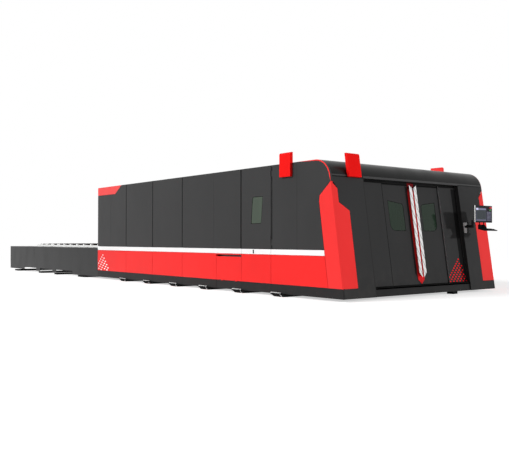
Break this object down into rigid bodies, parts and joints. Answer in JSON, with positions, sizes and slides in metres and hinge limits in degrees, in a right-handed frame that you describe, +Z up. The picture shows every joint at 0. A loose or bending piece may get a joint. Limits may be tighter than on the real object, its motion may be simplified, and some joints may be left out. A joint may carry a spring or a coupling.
{
  "type": "fiber laser cutting machine",
  "caption": "Enclosed fiber laser cutting machine with a dark and red cabin, sliding front doors, a side door, an operator screen and a pallet exchange table.",
  "frame": {"origin": "on the floor under the middle of the machine's bounding box", "axes": "+X along the machine to the door end, +Y across it to the side with the screen, +Z up"},
  "size_m": [16.1876, 4.4, 2.59],
  "materials": {
    "base_paint": "satin powder coat",
    "bed_paint": "satin paint",
    "black_paint": "satin powder coat",
    "green_plastic": "gloss",
    "red_paint": "gloss paint",
    "red_plastic": "gloss",
    "safety_glass": "tinted",
    "screen_plastic": "fine texture",
    "slat_steel": "mill finish",
    "steel": "ground",
    "white_paint": "gloss paint"
  },
  "bodies": {
    "machine": {"base_skirt_far": "base_paint", "base_skirt_near": "base_paint", "cabin_frame": "black_paint", "control_cabinet": "bed_paint", "corner_trim_far": "red_paint", "corner_trim_near": "red_paint", "door_side_panels": "black_paint", "door_tracks": "steel", "edge_piping": "red_paint", "floor_skids": "black_paint", "front_fascia": "black_paint", "front_jamb_far": "black_paint", "front_jamb_near": "black_paint", "front_panel_near": "black_paint", "front_sill": "base_paint", "guide_rails": "steel", "hinge_halves": "black_paint", "laser_source": "white_paint", "lower_panels_far": "red_paint", "lower_panels_near": "red_paint", "machine_bed": "bed_paint", "monitor_bracket": "steel", "rear_corner_tabs": "red_paint", "rear_wall": "black_paint", "roof_panel": "black_paint", "roof_signs": "red_paint", "table_end_cover": "black_paint", "table_frame": "bed_paint", "table_side_covers": "black_paint", "upper_panels_far": "black_paint", "upper_panels_near": "black_paint", "white_stripe_far": "white_paint", "white_stripe_near": "white_paint"},
    "gantry": {"gantry_beam": "bed_paint", "bearing_blocks": "steel"},
    "carriage": {"head_carriage": "bed_paint"},
    "head": {"cutting_head": "steel"},
    "upper_pallet": {"upper_pallet_frame": "bed_paint", "upper_pallet_slats": "slat_steel"},
    "lower_pallet": {"lower_pallet_frame": "bed_paint", "lower_pallet_slats": "slat_steel"},
    "front_door_near": {"door_glass_near": "safety_glass", "door_handle_bar_near": "white_paint", "door_handle_plate_near": "red_paint", "door_leaf_near": "black_paint"},
    "front_door_far": {"door_glass_far": "safety_glass", "door_handle_bar_far": "white_paint", "door_handle_plate_far": "red_paint", "door_leaf_far": "black_paint"},
    "side_door": {"side_door": "black_paint", "side_door_lower_panel": "red_paint", "side_door_stripe": "white_paint", "side_door_glass": "safety_glass"},
    "latch": {"side_door_latch": "screen_plastic"},
    "flap": {"service_flap": "red_paint"},
    "screen_arm": {"monitor_arm": "black_paint"},
    "screen": {"monitor": "screen_plastic", "keyboard_tray": "steel"},
    "stop_button": {"stop_button": "red_plastic"},
    "start_button": {"start_button": "green_plastic"}
  },
  "joints": [
    {"name": "gantry_slide", "type": "slide", "parent": "machine", "child": "gantry", "axis": [1, 0, 0], "range_m": [-6.75, 0]},
    {"name": "carriage_slide", "type": "slide", "parent": "gantry", "child": "carriage", "axis": [0, 1, 0], "range_m": [-1.18, 1.18]},
    {"name": "head_lift", "type": "slide", "parent": "carriage", "child": "head", "axis": [0, 0, 1], "range_m": [-0.222, 0]},
    {"name": "upper_pallet_slide", "type": "slide", "parent": "machine", "child": "upper_pallet", "axis": [1, 0, 0], "range_m": [0, 7.15]},
    {"name": "lower_pallet_slide", "type": "slide", "parent": "machine", "child": "lower_pallet", "axis": [1, 0, 0], "range_m": [-7.15, 0]},
    {"name": "front_door_near_slide", "type": "slide", "parent": "machine", "child": "front_door_near", "axis": [0, -1, 0], "range_m": [0, 0.66]},
    {"name": "front_door_far_slide", "type": "slide", "parent": "machine", "child": "front_door_far", "axis": [0, 1, 0], "range_m": [0, 0.66]},
    {"name": "side_door_hinge", "type": "hinge", "parent": "machine", "child": "side_door", "pos_m": [5.94723, -2.157, 1.3], "axis": [0, 0, 1], "range_deg": [0, 105]},
    {"name": "latch_turn", "type": "hinge", "parent": "side_door", "child": "latch", "pos_m": [5.42623, -2.15, 0.804], "axis": [0, -1, 0], "range_deg": [0, 90]},
    {"name": "flap_hinge", "type": "hinge", "parent": "machine", "child": "flap", "pos_m": [4.61873, -2.157, 0.219], "axis": [1, 0, 0], "range_deg": [0, 88]},
    {"name": "arm_swing", "type": "hinge", "parent": "machine", "child": "screen_arm", "pos_m": [7.67409, 1.41, 1.262], "axis": [0, 0, 1], "range_deg": [-10, 12]},
    {"name": "screen_swivel", "type": "hinge", "parent": "screen_arm", "child": "screen", "pos_m": [7.86909, 1.32, 1.262], "axis": [0, 0, 1], "range_deg": [-14, 14]},
    {"name": "stop_push", "type": "slide", "parent": "screen", "child": "stop_button", "axis": [-1, 0, 0], "range_m": [0, 0.006]},
    {"name": "start_push", "type": "slide", "parent": "screen", "child": "start_button", "axis": [-1, 0, 0], "range_m": [0, 0.004], "stiffness_N_per_m": 1500}
  ],
  "couplings": [
    {"joint": "lower_pallet_slide", "follows": "upper_pallet_slide", "ratio": -1}
  ]
}
